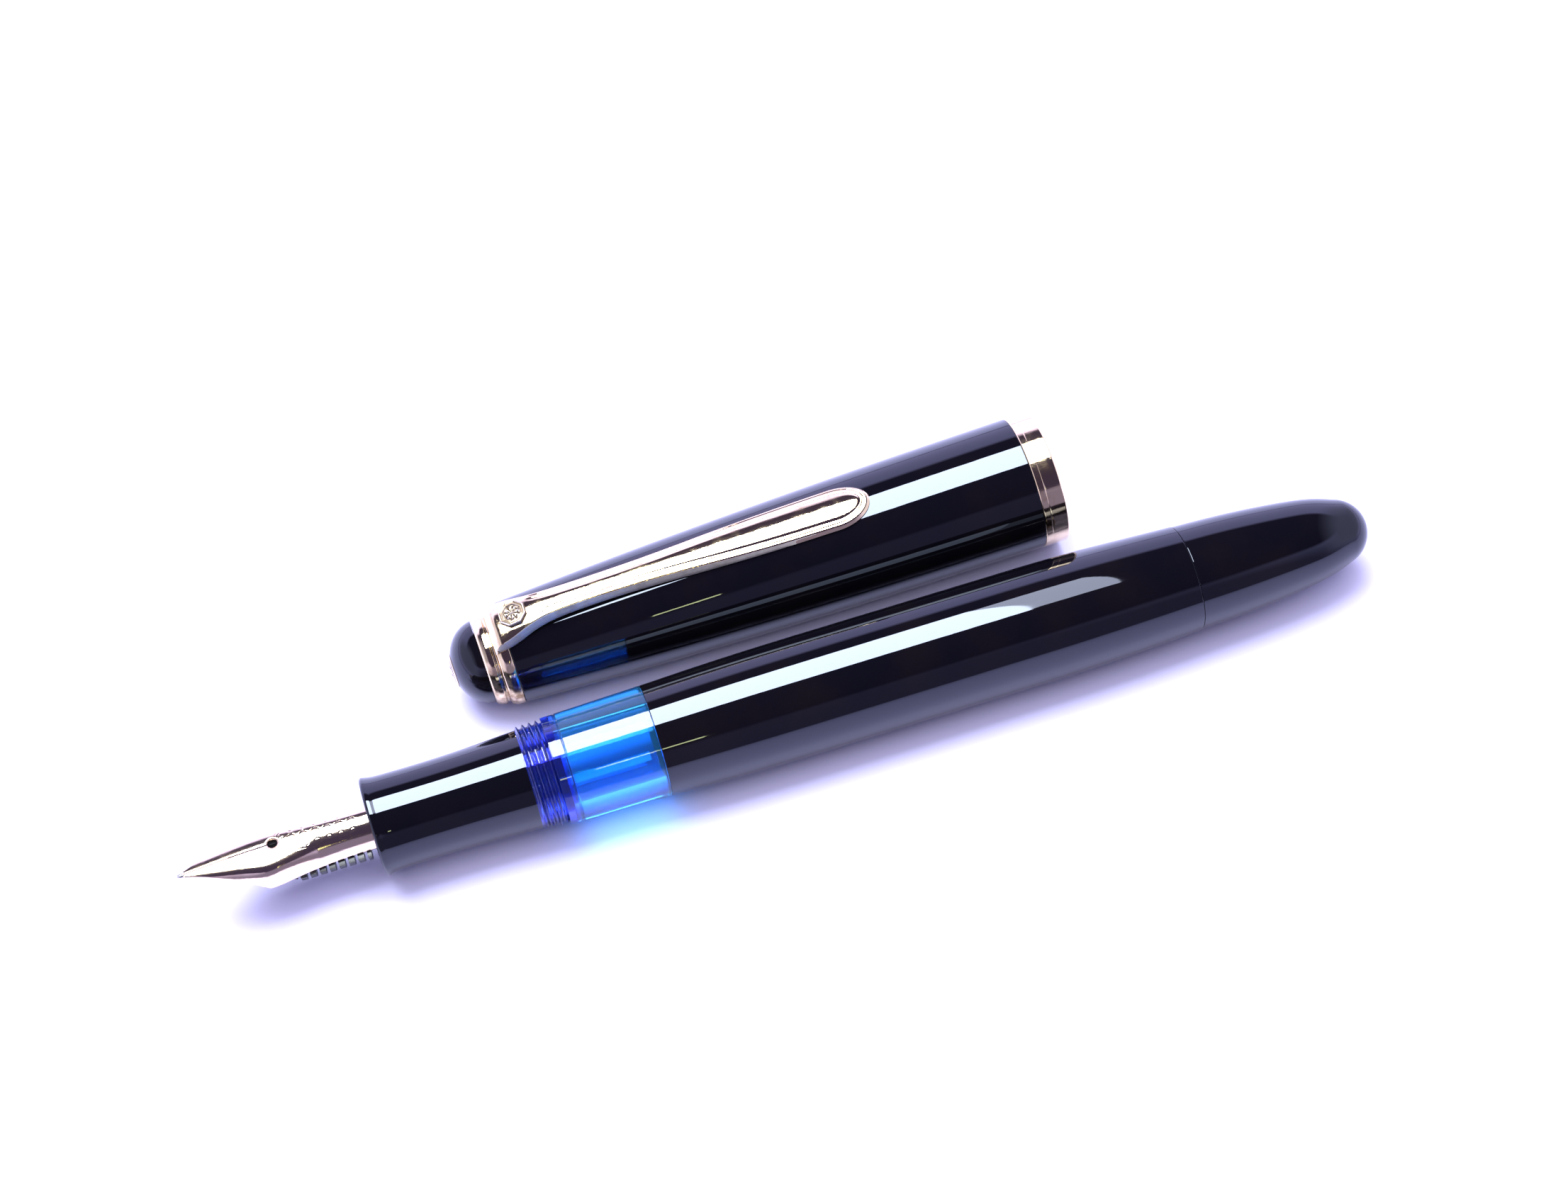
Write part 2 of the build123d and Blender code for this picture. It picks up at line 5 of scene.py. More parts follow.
import bmesh
import bpy
import numpy as np
from mathutils import Matrix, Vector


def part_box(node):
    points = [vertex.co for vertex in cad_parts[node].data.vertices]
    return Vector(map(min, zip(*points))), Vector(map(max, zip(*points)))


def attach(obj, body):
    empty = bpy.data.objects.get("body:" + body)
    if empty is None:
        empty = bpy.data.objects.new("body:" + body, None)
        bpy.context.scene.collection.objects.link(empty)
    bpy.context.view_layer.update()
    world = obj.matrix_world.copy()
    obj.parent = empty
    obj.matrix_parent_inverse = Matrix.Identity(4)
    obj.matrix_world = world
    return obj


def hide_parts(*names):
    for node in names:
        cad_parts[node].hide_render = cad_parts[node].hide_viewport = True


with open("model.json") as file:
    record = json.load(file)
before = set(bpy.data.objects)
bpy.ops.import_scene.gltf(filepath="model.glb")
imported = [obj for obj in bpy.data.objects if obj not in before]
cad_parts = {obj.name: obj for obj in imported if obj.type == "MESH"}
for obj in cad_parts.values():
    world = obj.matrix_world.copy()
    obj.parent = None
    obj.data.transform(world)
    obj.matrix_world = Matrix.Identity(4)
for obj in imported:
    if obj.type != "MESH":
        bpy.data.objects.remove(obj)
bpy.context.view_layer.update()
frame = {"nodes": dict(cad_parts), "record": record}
mm = 0.001


# Frames: every shape is worked out in millimetres along one of two lines, the pen's and the cap's.
class Line:
    # x runs along the line, angle 0 is straight up and grows by the right-hand rule about it
    def __init__(self, origin, along):
        self.origin = np.array(origin, float)
        self.along = np.array(along, float) / np.linalg.norm(along)
        side = np.cross(self.along, (0, 0, 1))
        self.side = side / np.linalg.norm(side)
        self.up = np.cross(self.side, self.along)

    # the point at x along, s to the side and h up: origin + x along + s side + h up
    def point(self, x, s, h):
        x, s, h = np.broadcast_arrays(np.asarray(x, float), s, h)
        return self.origin + mm * (
            x[..., None] * self.along + s[..., None] * self.side + h[..., None] * self.up
        )

    # the point at x along and radius r, turned by an angle: s is r sin(angle), h is r cos(angle)
    def polar(self, x, r, angle):
        return self.point(x, r * np.sin(angle), r * np.cos(angle))


threadFront = -4.0  # station of the front of the clear chamber, from the collar line
mouthStation = 51.0  # station of the cap's mouth mount, from the clip ring
chamberLow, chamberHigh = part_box("ink_chamber")
penLine = Line(
    (
        chamberLow.x - threadFront * mm,
        (chamberLow.y + chamberHigh.y) / 2,
        (chamberLow.z + chamberHigh.z) / 2,
    ),
    (1, 0, 0),
)
mouth = next(m for m in frame["record"]["mounts"] if m["name"] == "cap_mouth")
mouthAxis = np.array(mouth["axis"])
capLine = Line(np.array(mouth["pos_m"]) - mouthStation * mm * mouthAxis, mouthAxis)


# Shader values: arithmetic on a wrapped socket adds Math nodes.
class Value:
    def __init__(self, finish, socket):
        self.finish, self.socket = finish, socket

    def math(self, operation, *others, clamp=False):
        inputs = dict(enumerate((self, *others)))
        return self.finish.node("ShaderNodeMath", {"operation": operation, "use_clamp": clamp}, inputs)

    def __add__(self, other):
        return self.math("ADD", other)

    def __sub__(self, other):
        return self.math("SUBTRACT", other)

    def __rsub__(self, other):
        return self.finish.node("ShaderNodeMath", {"operation": "SUBTRACT"}, {0: other, 1: self})

    def __mul__(self, other):
        return self.math("MULTIPLY", other)

    __radd__ = __add__
    __rmul__ = __mul__

    # 0 below low, 1 above high, and a straight ramp between them
    def ramp(self, low, high):
        inputs = {"Value": self, "From Min": low, "From Max": high}
        return self.finish.node("ShaderNodeMapRange", {"clamp": True}, inputs)


class Finish:
    # a name makes a new material; a world is given as it is
    def __init__(self, owner):
        self.owner = bpy.data.materials.new(owner) if isinstance(owner, str) else owner
        self.owner.use_nodes = True
        self.tree = self.owner.node_tree
        self.tree.nodes.clear()

    def feed(self, socket, value):
        if isinstance(value, Value):
            self.tree.links.new(value.socket, socket)
        elif value is not None:
            socket.default_value = value

    # a node of any type: its settings are set first, then the values or links of its sockets
    def node(self, kind, settings=None, inputs=None, output=0):
        made = self.tree.nodes.new(kind)
        for key, value in (settings or {}).items():
            setattr(made, key, value)
        for key, value in (inputs or {}).items():
            self.feed(made.inputs[key], value)
        return Value(self, made.outputs[output]) if len(made.outputs) else None

    # Object coordinates, stretched by a scale along each axis
    def place(self, scale=(1, 1, 1)):
        spot = self.node("ShaderNodeTexCoord", output="Object")
        return self.node("ShaderNodeMapping", inputs={"Vector": spot, "Scale": scale})

    def noise(self, place, scale, detail=2.0, rough=0.5, distortion=0.0):
        inputs = {
            "Vector": place, "Scale": scale, "Detail": detail, "Roughness": rough, "Distortion": distortion,
        }
        return self.node("ShaderNodeTexNoise", inputs=inputs)

    # a colour mix; the Mix node's colour sockets come after its number and vector ones
    def blend(self, mask, first, second):
        a, b = (c if isinstance(c, Value) else (*c, 1) for c in (first, second))
        inputs = {0: mask, 6: a, 7: b}
        return self.node("ShaderNodeMix", {"data_type": "RGBA"}, inputs, 2)

    # one part of a vector: 0 is x, 1 is y, 2 is z
    def split(self, vector, part):
        return self.node("ShaderNodeSeparateXYZ", inputs={"Vector": vector}, output=part)

    def bump(self, height, depth, strength=1.0):
        return self.node("ShaderNodeBump", inputs={"Height": height, "Distance": depth, "Strength": strength})

    def surface(self, **inputs):
        named = {key.replace("_", " "): value for key, value in inputs.items()}
        shader = self.node("ShaderNodeBsdfPrincipled", inputs=named)
        self.node("ShaderNodeOutputMaterial", inputs={"Surface": shader})
        return self.owner


# Surfaces: grids of points worked out as whole arrays, joined by quads.
def gridFaces(rows, columns, closeRows=False, closeColumns=False):
    r = np.arange(rows if closeRows else rows - 1)[:, None]
    c = np.arange(columns if closeColumns else columns - 1)[None, :]
    rNext, cNext = (r + 1) % rows, (c + 1) % columns
    corners = (r * columns + c, r * columns + cNext, rNext * columns + cNext, rNext * columns + c)
    return np.stack(corners, axis=-1).reshape(-1, 4)


def joined(*shells):
    points, faces, count = [], [], 0
    for shellPoints, shellFaces in shells:
        points.append(shellPoints.reshape(-1, 3))
        faces.append(shellFaces + count)
        count += len(points[-1])
    return np.concatenate(points), np.concatenate(faces)


# natural cubic spline through given knots: second slopes solve the usual three-term system
def throughKnots(knots, x):
    kx, ky = np.array(knots, float).T
    order = np.argsort(kx)
    kx, ky = kx[order], ky[order]
    gap = np.diff(kx)
    system = np.eye(len(kx))
    right = np.zeros(len(kx))
    inner = np.arange(1, len(kx) - 1)
    system[inner, inner - 1] = gap[:-1]
    system[inner, inner] = 2 * (gap[:-1] + gap[1:])
    system[inner, inner + 1] = gap[1:]
    right[inner] = 6 * np.diff(np.diff(ky) / gap)
    bend = np.linalg.solve(system, right)
    i = np.clip(np.searchsorted(kx, x) - 1, 0, len(gap) - 1)
    a, b, h = kx[i + 1] - x, x - kx[i], gap[i]
    curved = (bend[i] * a ** 3 + bend[i + 1] * b ** 3) / (6 * h)
    straight = (ky[i] / h - bend[i] * h / 6) * a + (ky[i + 1] / h - bend[i + 1] * h / 6) * b
    return curved + straight


# a stretch of outline along a spline through knots, as points (x, r)
def spun(knots, count=28):
    x = np.linspace(knots[0][0], knots[-1][0], count)
    return np.stack([x, throughKnots(knots, x)], axis=1)


# an arc of outline: centre plus radius times (cos, sin), from one angle to another in degrees
def arc(centre, radius, start, end, count=9):
    a = np.radians(np.linspace(start, end, count))
    return np.stack([centre[0] + radius * np.cos(a), centre[1] + radius * np.sin(a)], axis=1)


# every corner of an outline becomes a short curve, (1-t)^2 a + 2t(1-t) corner + t^2 b, between two
# points cut from its sides, with one more point on each side to keep the flats flat
def softened(outline, cut=0.06, closed=True):
    here = np.asarray(outline, float)
    before, after = np.roll(here, 1, axis=0), np.roll(here, -1, axis=0)
    back, forth = before - here, after - here
    backLength = np.linalg.norm(back, axis=1, keepdims=True)
    forthLength = np.linalg.norm(forth, axis=1, keepdims=True)
    reach = np.minimum(cut, 0.3 * np.minimum(backLength, forthLength))
    a = here + back / backLength * reach
    b = here + forth / forthLength * reach
    t = np.linspace(0, 1, 5)[:, None, None]
    curve = (1 - t) ** 2 * a + 2 * t * (1 - t) * here + t ** 2 * b
    guardA = here + back / backLength * reach * 1.6
    guardB = here + forth / forthLength * reach * 1.6
    rows = np.concatenate([guardA[None], curve, guardB[None]]).transpose(1, 0, 2)
    if not closed:
        rows = [here[:1], *rows[1:-1], here[-1:]]
    return np.concatenate([np.reshape(r, (-1, 2)) for r in rows])


# an outline carried round a line: radius r plus a relief of station and angle
def turned(line, outline, segments=160, closed=True, relief=None):
    x, r = outline[:, :1], outline[:, 1:]
    angle = np.linspace(0, 2 * math.pi, segments, endpoint=False)[None, :]
    if relief is not None:
        r = r + relief(x, r, angle)
    points = line.polar(x, r, angle)
    return points.reshape(-1, 3), gridFaces(len(outline), segments, closed, True)


# a shell becomes an object: doubles merged, normals outwards, smooth up to the sharp angle
def makePiece(name, shell, finish, body, stands=(), sharp=38):
    points, faces, *height = shell
    mesh = bpy.data.meshes.new(name)
    mesh.from_pydata(points.tolist(), [], faces.tolist())
    if height:
        mesh.attributes.new("height", "FLOAT", "POINT").data.foreach_set("value", height[0])
    work = bmesh.new()
    work.from_mesh(mesh)
    bmesh.ops.remove_doubles(work, verts=work.verts, dist=4e-7)
    bmesh.ops.dissolve_degenerate(work, edges=work.edges, dist=2e-7)
    bmesh.ops.recalc_face_normals(work, faces=work.faces)
    work.to_mesh(mesh)
    work.free()
    mesh.shade_smooth()
    mesh.set_sharp_from_angle(angle=math.radians(sharp))
    piece = bpy.data.objects.new(name, mesh)
    bpy.context.scene.collection.objects.link(piece)
    mesh.materials.append(finish)
    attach(piece, body)
    if stands:
        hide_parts(*stands)
    return piece


# Finishes
def blackResin():
    f = Finish("blackResin")
    hairs = f.noise(f.place((40, 900, 900)), 6.0, 3.0, 0.6)
    scratch = hairs.ramp(0.66, 0.78)
    haze = f.noise(f.place(), 140.0, 4.0, 0.55)
    rough = 0.018 + 0.022 * haze.ramp(0.5, 0.8) + 0.05 * scratch
    colour = f.blend(haze.ramp(0.4, 0.8), (0.0010, 0.0009, 0.0018), (0.0022, 0.0016, 0.0020))
    return f.surface(
        Base_Color=colour, Roughness=rough, IOR=1.54, Specular_Tint=(0.80, 0.86, 1.0, 1),
        Normal=f.bump(hairs, 0.0000012, 0.3),
    )


# the clear resin is deeper and more violet round the thread than along the window
def blueResin():
    f = Finish("blueResin")
    station = f.split(f.place(), 0)
    front = penLine.origin[0]
    swirl = f.noise(f.place((60, 400, 400)), 1.0, 2.0)
    window = f.blend(swirl.ramp(0.3, 0.7), (0.09, 0.54, 1.0), (0.04, 0.42, 1.0))
    ring = f.blend(swirl.ramp(0.3, 0.7), (0.07, 0.08, 0.92), (0.04, 0.14, 0.97))
    colour = f.blend(station.ramp(front - 0.0006, front + 0.0003), ring, window)
    fine = f.noise(f.place((50, 1500, 1500)), 4.0, 2.0)
    return f.surface(
        Base_Color=colour, Roughness=0.02, IOR=1.49, Transmission_Weight=0.97,
        Normal=f.bump(fine, 0.000001, 0.35),
    )


# plating: fine brushing and light tarnish all over, and a brown stain low down on the ring at the cap's top
def platedGold():
    f = Finish("platedGold")
    spot = f.place()
    ringEnd, ringHeight = capLine.point(2.9, 0, 0)[0], capLine.point(1.4, 0, 1.6)[2]
    onRing = 1 - f.split(spot, 0).ramp(ringEnd, ringEnd + 0.0003)
    lowDown = 1 - f.split(spot, 2).ramp(ringHeight - 0.0014, ringHeight + 0.0006)
    stain = onRing * lowDown * f.noise(spot, 520.0, 5.0, 0.65).ramp(0.40, 0.56)
    brushed = f.noise(f.place((120, 2600, 2600)), 4.0, 3.0, 0.6)
    worn = f.noise(f.place(), 420.0, 5.0, 0.62)
    tarnish = worn.ramp(0.52, 0.72)
    colour = f.blend(tarnish, (0.94, 0.74, 0.47), (0.74, 0.53, 0.30))
    colour = f.blend(stain, colour, (0.30, 0.19, 0.09))
    rough = 0.055 + 0.12 * tarnish + 0.07 * brushed.ramp(0.5, 0.8) + 0.20 * stain
    height = brushed * 0.5 + worn * 0.8
    return f.surface(
        Base_Color=colour, Metallic=1.0, Roughness=rough, Normal=f.bump(height, 0.000012, 0.45),
    )


def nibGold():
    f = Finish("nibGold")
    polish = f.noise(f.place((200, 3000, 3000)), 4.0, 2.0, 0.5)
    stain = f.noise(f.place(), 260.0, 4.0, 0.6)
    colour = f.blend(stain.ramp(0.5, 0.75), (0.96, 0.76, 0.56), (0.90, 0.66, 0.44))
    rough = 0.07 + 0.09 * stain.ramp(0.4, 0.8) + 0.06 * polish.ramp(0.5, 0.8)
    return f.surface(
        Base_Color=colour, Metallic=1.0, Roughness=rough, Normal=f.bump(polish, 0.000006, 0.4),
    )


# plain metals and moulded plastics differ by colour, roughness and the grain they are turned or moulded with
def workedMetal(name, colour, dark, rough, grain):
    f = Finish(name)
    lines = f.noise(f.place(grain), 4.0, 3.0, 0.6)
    patches = f.noise(f.place(), 500.0, 4.0, 0.6).ramp(0.45, 0.75)
    return f.surface(
        Base_Color=f.blend(patches, colour, dark), Metallic=1.0,
        Roughness=rough + 0.12 * lines + 0.1 * patches, Normal=f.bump(lines, 0.00001, 0.4),
    )


# struck metal: the low parts of the relief are painted darker, as painted shade in the recesses, and are
# rougher
def struckMetal():
    f = Finish("struckMetal")
    height = f.node("ShaderNodeAttribute", {"attribute_name": "height"}, output="Fac")
    grain = f.noise(f.place(), 900.0, 4.0, 0.6)
    # painted shade: the raised relief is painted lighter and the low parts darker, and the same share makes the
    # raised parts less rough
    bright = (height + 0.25 * grain).ramp(0.34, 0.62)
    return f.surface(
        Base_Color=f.blend(bright, (0.16, 0.12, 0.09), (0.90, 0.80, 0.64)), Metallic=1.0,
        Roughness=0.34 - 0.24 * bright + 0.08 * grain, Normal=f.bump(grain, 0.000008, 0.4),
    )


def moulded(name, colour, worn, rough, scale, depth):
    f = Finish(name)
    grain = f.noise(f.place(), scale, 4.0, 0.6)
    rub = f.noise(f.place(), scale / 9, 3.0, 0.5).ramp(0.45, 0.75)
    return f.surface(
        Base_Color=f.blend(rub, colour, worn), Roughness=rough + 0.12 * grain - 0.08 * rub,
        Normal=f.bump(grain, depth, 0.5),
    )


resin = blackResin()
clearBlue = blueResin()
trimGold = platedGold()
penGold = nibGold()
hardTip = workedMetal("hardTip", (0.80, 0.78, 0.75), (0.62, 0.58, 0.52), 0.22, (900, 900, 900))
badgeMetal = struckMetal()
clipSide = workedMetal("clipSide", (0.84, 0.78, 0.68), (0.50, 0.45, 0.38), 0.52, (2400, 2400, 2400))
turnedBrass = workedMetal("turnedBrass", (0.83, 0.64, 0.33), (0.62, 0.44, 0.20), 0.24, (2600, 120, 120))
turnedSteel = workedMetal("turnedSteel", (0.66, 0.66, 0.68), (0.48, 0.48, 0.50), 0.24, (2600, 120, 120))
feedBlack = moulded("feedBlack", (0.008, 0.008, 0.011), (0.02, 0.02, 0.024), 0.30, 2600.0, 0.00001)
innerPlastic = moulded("innerPlastic", (0.045, 0.045, 0.05), (0.075, 0.075, 0.08), 0.42, 1800.0, 0.00001)
paleSeal = moulded("paleSeal", (0.72, 0.73, 0.70), (0.62, 0.62, 0.58), 0.46, 1500.0, 0.000008)
print("finishes ready")


# Pieces of the pen; every outline is a list of (station, radius) in millimetres
pen = {"barrel": 5.86, "segments": 176}

grip = {
    "front": -19.6, "lip": 0.35, "back": -4.0, "tenonBack": -0.6, "tenon": 4.20, "bore": 3.95, "channel": 3.60,
    "knots": ((-19.25, 4.90), (-18.75, 4.77), (-18.2, 4.695), (-17.2, 4.655), (-15.6, 4.63), (-10.0, 4.67),
              (-4.0, 4.90)),
}


def gripSection():
    g = grip
    inside = softened([
        (g["back"], g["knots"][-1][1]), (g["back"], g["tenon"]), (g["tenonBack"], g["tenon"]),
        (g["tenonBack"], g["channel"]), (-5.6, g["channel"]), (-6.0, g["bore"]),
        (g["front"] + 0.1, g["bore"]), (g["front"], g["bore"] + 0.1), (g["front"], g["knots"][0][1] - g["lip"]),
    ], closed=False)
    lipArc = arc((g["front"] + g["lip"], g["knots"][0][1] - g["lip"]), g["lip"], 180, 90)
    return turned(penLine, np.concatenate([inside, lipArc, spun(g["knots"], 48)]), pen["segments"])


chamber = {
    "threadFront": -4.0, "threadBack": -1.35, "root": 4.90, "crest": 5.24, "pitch": 0.66, "collar": 5.34,
    "windowBack": 8.75, "window": 5.56, "spigot": 4.59, "back": 43.0, "bore": 3.60,
}


# thread: radius grows from the root by a ridge, (half minus half cosine) of station less turn, per pitch,
# and the ridge fades in and out over the first and last part of its length
def threadRelief(front, back, pitch, height):
    def relief(x, r, angle):
        turn = (x - pitch * angle / (2 * math.pi) - front) / pitch
        ridge = (0.5 - 0.5 * np.cos(2 * math.pi * turn)) ** 1.5
        fade = np.clip((x - front) / (0.3 * pitch), 0, 1) * np.clip((back - x) / (0.3 * pitch), 0, 1)
        return height * ridge * fade
    return relief


def inkChamber():
    c = chamber
    threadRows = np.linspace(c["threadFront"] + 0.02, c["threadBack"] - 0.02, 84)
    thread = np.stack([threadRows, np.full(len(threadRows), c["root"])], axis=1)
    outer = softened([
        (c["threadBack"], c["root"]), (c["threadBack"], c["collar"]), (-0.09, c["collar"]),
        (-0.02, c["collar"] - 0.07), (0.03, c["collar"] - 0.07), (0.10, c["collar"] + 0.02),
        (c["windowBack"], c["window"]), (c["windowBack"], c["spigot"]), (c["back"], c["spigot"]),
        (c["back"], c["bore"]), (-0.57, c["bore"]), (-0.57, grip["tenon"] + 0.03),
        (c["threadFront"], grip["tenon"] + 0.03), (c["threadFront"], c["root"]),
    ], 0.05, closed=False)
    relief = threadRelief(c["threadFront"], c["threadBack"], c["pitch"], c["crest"] - c["root"])
    onThread = np.concatenate([np.ones(len(thread)), np.zeros(len(outer))])[:, None]
    outline = np.concatenate([thread, outer])
    return turned(
        penLine, outline, 192, relief=lambda x, r, angle: relief(x, r, angle) * onThread,
    )


barrel = {
    "front": 8.77, "back": 63.5, "bore": 4.62,
    "knots": ((8.77, 5.56), (15.5, 5.76), (25.0, 5.86), (37.0, 5.86), (49.0, 5.86), (56.5, 5.68), (63.5, 5.36)),
}


def barrelSleeve():
    b = barrel
    outside = spun(b["knots"], 70)
    outside[:, 1] = np.minimum(outside[:, 1], pen["barrel"])
    inside = softened([
        outside[-3], (b["back"], b["knots"][-1][1]), (b["back"], b["bore"]), (b["front"], b["bore"]),
        (b["front"], b["knots"][0][1]), outside[2],
    ], 0.05, closed=False)
    return turned(penLine, np.concatenate([outside[3:-3], inside]), pen["segments"])


knob = {
    "front": 63.56, "tip": 82.7, "bend": 3.39, "bendAngle": 73, "bore": 3.90,
    "insertBack": 74.03, "rodEnd": 77.9, "rodBore": 1.9,
    "knots": ((63.56, 5.30), (67.9, 5.13), (71.6, 4.86), (75.3, 4.46), (78.2, 3.93), (80.301, 3.242)),
}


def turningKnob():
    k = knob
    outside = spun(k["knots"], 46)
    inside = softened([
        (k["rodEnd"], 0), (k["rodEnd"], k["rodBore"]), (k["insertBack"], k["rodBore"]),
        (k["insertBack"], k["bore"]), (k["front"], k["bore"]), (k["front"], k["knots"][0][1]), outside[1],
    ], 0.06, closed=False)
    dome = arc((k["tip"] - k["bend"], 0), k["bend"], k["bendAngle"], 0, 22)
    dome[-1, 1] = 0
    return turned(penLine, np.concatenate([inside, outside[2:-1], dome]), pen["segments"], closed=False)


# Nib: each row is an arc of radius bend about a centre height, wrapped to a half angle; towards the tip its
# fall from the middle is also multiplied by a power of the share of the width, so one side's top is flatter
nibSize = {
    "back": -9.0, "shoulder": -30.2, "front": -37.85, "sheet": 0.32,
    "hole": -28.9, "holeRadius": 0.5, "slit": 0.05,
    "bend": ((-37.85, 2.60), (-36.6, 2.80), (-34.6, 3.10), (-32.2, 3.45), (-30.2, 3.55), (-28.2, 3.20),
             (-24.5, 2.62), (-19.6, 2.42), (-9.0, 2.42)),
    "height": ((-37.85, -0.62), (-36.6, -0.68), (-34.6, -0.75), (-32.2, -0.85), (-30.2, -0.80), (-28.2, -0.42),
               (-24.5, -0.05), (-19.6, 0.0), (-9.0, 0.0)),
    "wingAngle": ((-30.2, 72.0), (-28.2, 79.0), (-24.5, 86.0), (-19.6, 88.0), (-9.0, 88.0)),
    "tineAngle": ((-37.85, 7.0), (-36.6, 15.5), (-34.6, 31.0), (-32.2, 49.0), (-30.2, 72.0)),
    "engraving": 0.020, "lineWidth": 0.042, "flatFrom": -25.0, "flat": 2.4,
}


# engraving: grooves whose depth falls off as a bell curve of the distance to each line; two braids run along
# the middle, loops stand beside them, and short rays fan out behind the breather hole
def nibEngraving(u, a):
    n = nibSize
    width = n["lineWidth"]
    panel = np.clip((u + 27.5) / 0.3, 0, 1) * np.clip((-20.7 - u) / 0.3, 0, 1)

    def groove(distance):
        return np.exp(-(distance / width) ** 2)

    braid = 0.42 * np.sin(2 * math.pi * u / 2.3)
    slope = np.sqrt(1 + (0.42 * 2 * math.pi / 2.3 * np.cos(2 * math.pi * u / 2.3)) ** 2)
    lines = groove((a - braid) / slope) + groove((a + braid) / slope)
    cell = (u / 1.15) % 1.0 - 0.5
    loops = np.hypot(cell * 1.15, np.abs(a) - 0.98)
    lines = lines + groove(loops - 0.26) + 0.8 * groove(loops - 0.04)
    lines = lines + groove(np.abs(a) - 1.42) * panel
    away = np.hypot(u - n["hole"], a)
    ray = np.arctan2(a, u - n["hole"])
    fan = np.abs((ray / math.radians(15) + 0.5) % 1.0 - 0.5) * math.radians(15) * away
    behind = np.clip((u - n["hole"] - 0.35) / 0.1, 0, 1) * np.clip((1.25 - away) / 0.1, 0, 1)
    return n["engraving"] * np.clip(lines * panel + groove(fan) * behind, 0, 1.1)


def nibHalf(side):
    n = nibSize
    around = np.radians(np.linspace(0, 180, 25))
    holeRows = n["hole"] + n["holeRadius"] * np.cos(around)
    slitStart = n["hole"] - math.sqrt(n["holeRadius"] ** 2 - n["slit"] ** 2)
    u = np.concatenate([
        np.linspace(n["back"], -19.3, 8)[:-1], np.arange(-19.3, holeRows[0] - 0.02, -0.065), holeRows[:-1],
        np.linspace(slitStart, n["shoulder"], 12)[1:-1], np.linspace(n["shoulder"], n["front"], 72),
    ])
    u = u[np.concatenate([[True], np.diff(u) < -1e-6])][:, None]
    bend, centre = throughKnots(n["bend"], u), throughKnots(n["height"], u)
    angle = np.where(
        u > n["shoulder"], throughKnots(n["wingAngle"], u), throughKnots(n["tineAngle"], u)
    )
    width = bend * np.radians(angle)
    reach = n["holeRadius"] ** 2 - (u - n["hole"]) ** 2
    hole = np.sqrt(np.clip(reach, 0, None))
    edge = np.where(u < n["hole"], np.maximum(hole, n["slit"]), np.where(hole < 1e-5, 0, hole))
    t = np.linspace(0, 1, 58)[None, :]
    rimIn = 0.11
    along = edge + (width - rimIn - edge) * t
    sheet = n["sheet"]
    rimA = np.array([[-0.05, -0.015, 0.0, 0.0, -0.015, -0.05]])
    rimD = np.array([[0.014, 0.055, 0.115, sheet - 0.115, sheet - 0.055, sheet - 0.014]])
    arcLength = np.concatenate([along, width + rimA, along[:, ::-1]], axis=1)
    ones = np.ones_like(u)
    countersink = np.clip(1 - (np.hypot(u - n["hole"], along) - n["holeRadius"]) / 0.16, 0, 1) ** 2 * 0.09
    slitBevel = np.where(u < n["hole"], np.clip(1 - (along - edge) / 0.07, 0, 1) ** 2 * 0.02, 0)
    topDepth = nibEngraving(u, side * along) + np.maximum(countersink, slitBevel)
    bottomDepth = np.full_like(along, sheet)
    depth = np.concatenate([topDepth, ones * rimD, bottomDepth], axis=1)
    phi = arcLength / bend
    flatness = (n["flat"] if side > 0 else 0) * np.clip((n["flatFrom"] - u) / 4.0, 0, 1)
    fall = bend * (1 - np.cos(phi)) * np.clip(arcLength / width, 1e-6, 1) ** flatness
    points = penLine.point(
        u, side * (bend - depth) * np.sin(phi), centre + bend - depth * np.cos(phi) - fall,
    )
    rows, columns = points.shape[:2]
    faces = gridFaces(rows, columns)
    open_ = np.flatnonzero((edge[:-1, 0] > 0) | (edge[1:, 0] > 0))
    wall = np.stack([open_ * columns, open_ * columns + columns - 1,
                     (open_ + 1) * columns + columns - 1, (open_ + 1) * columns], axis=1)
    k = np.arange(columns // 2 - 1)
    backEnd = np.stack([k, k + 1, columns - 2 - k, columns - 1 - k], axis=1)
    frontEnd = backEnd + (rows - 1) * columns
    return points.reshape(-1, 3), np.concatenate([faces, wall, backEnd, frontEnd])


tipping = {"station": -37.93, "height": 1.80, "long": 0.47, "tall": 0.31, "wide": 0.27, "gap": 0.05}


# each pellet is a quarter of an ellipsoid's turn: rings at latitude, from the flat by the slit to a side pole
def pellet(side):
    p = tipping
    latitude = np.radians(np.linspace(0, 90, 10))[:, None]
    around = np.radians(np.linspace(0, 360, 28, endpoint=False))[None, :]
    shrink = np.concatenate([np.zeros((1, 1)), np.cos(latitude)])
    out = np.concatenate([np.zeros((1, 1)), np.sin(latitude)])
    shrink[-1] = 0
    points = penLine.point(
        p["station"] + p["long"] * shrink * np.cos(around),
        side * (p["gap"] + p["wide"] * out) + 0 * around,
        p["height"] + p["tall"] * shrink * np.sin(around),
    )
    return points.reshape(-1, 3), gridFaces(len(shrink), around.shape[1], False, True)


feedSize = {
    "front": -33.3, "back": -7.0, "fin": 2.95, "finFront": -28.0, "finBack": -20.3, "pitch": 0.95, "gap": 0.34,
    "knots": ((-33.3, 0.55), (-33.0, 0.92), (-32.4, 1.36), (-31.0, 1.84), (-28.0, 2.09), (-19.6, 2.07),
              (-7.0, 2.07)),
    "top": 2.09, "bottom": ((-33.3, 0.60), (-33.0, -0.05), (-32.4, -0.72), (-31.0, -1.45), (-28.0, -2.09)),
    "channel": 0.25, "channelFloor": 1.1, "channelTop": 2.05, "tail": -20.0,
}


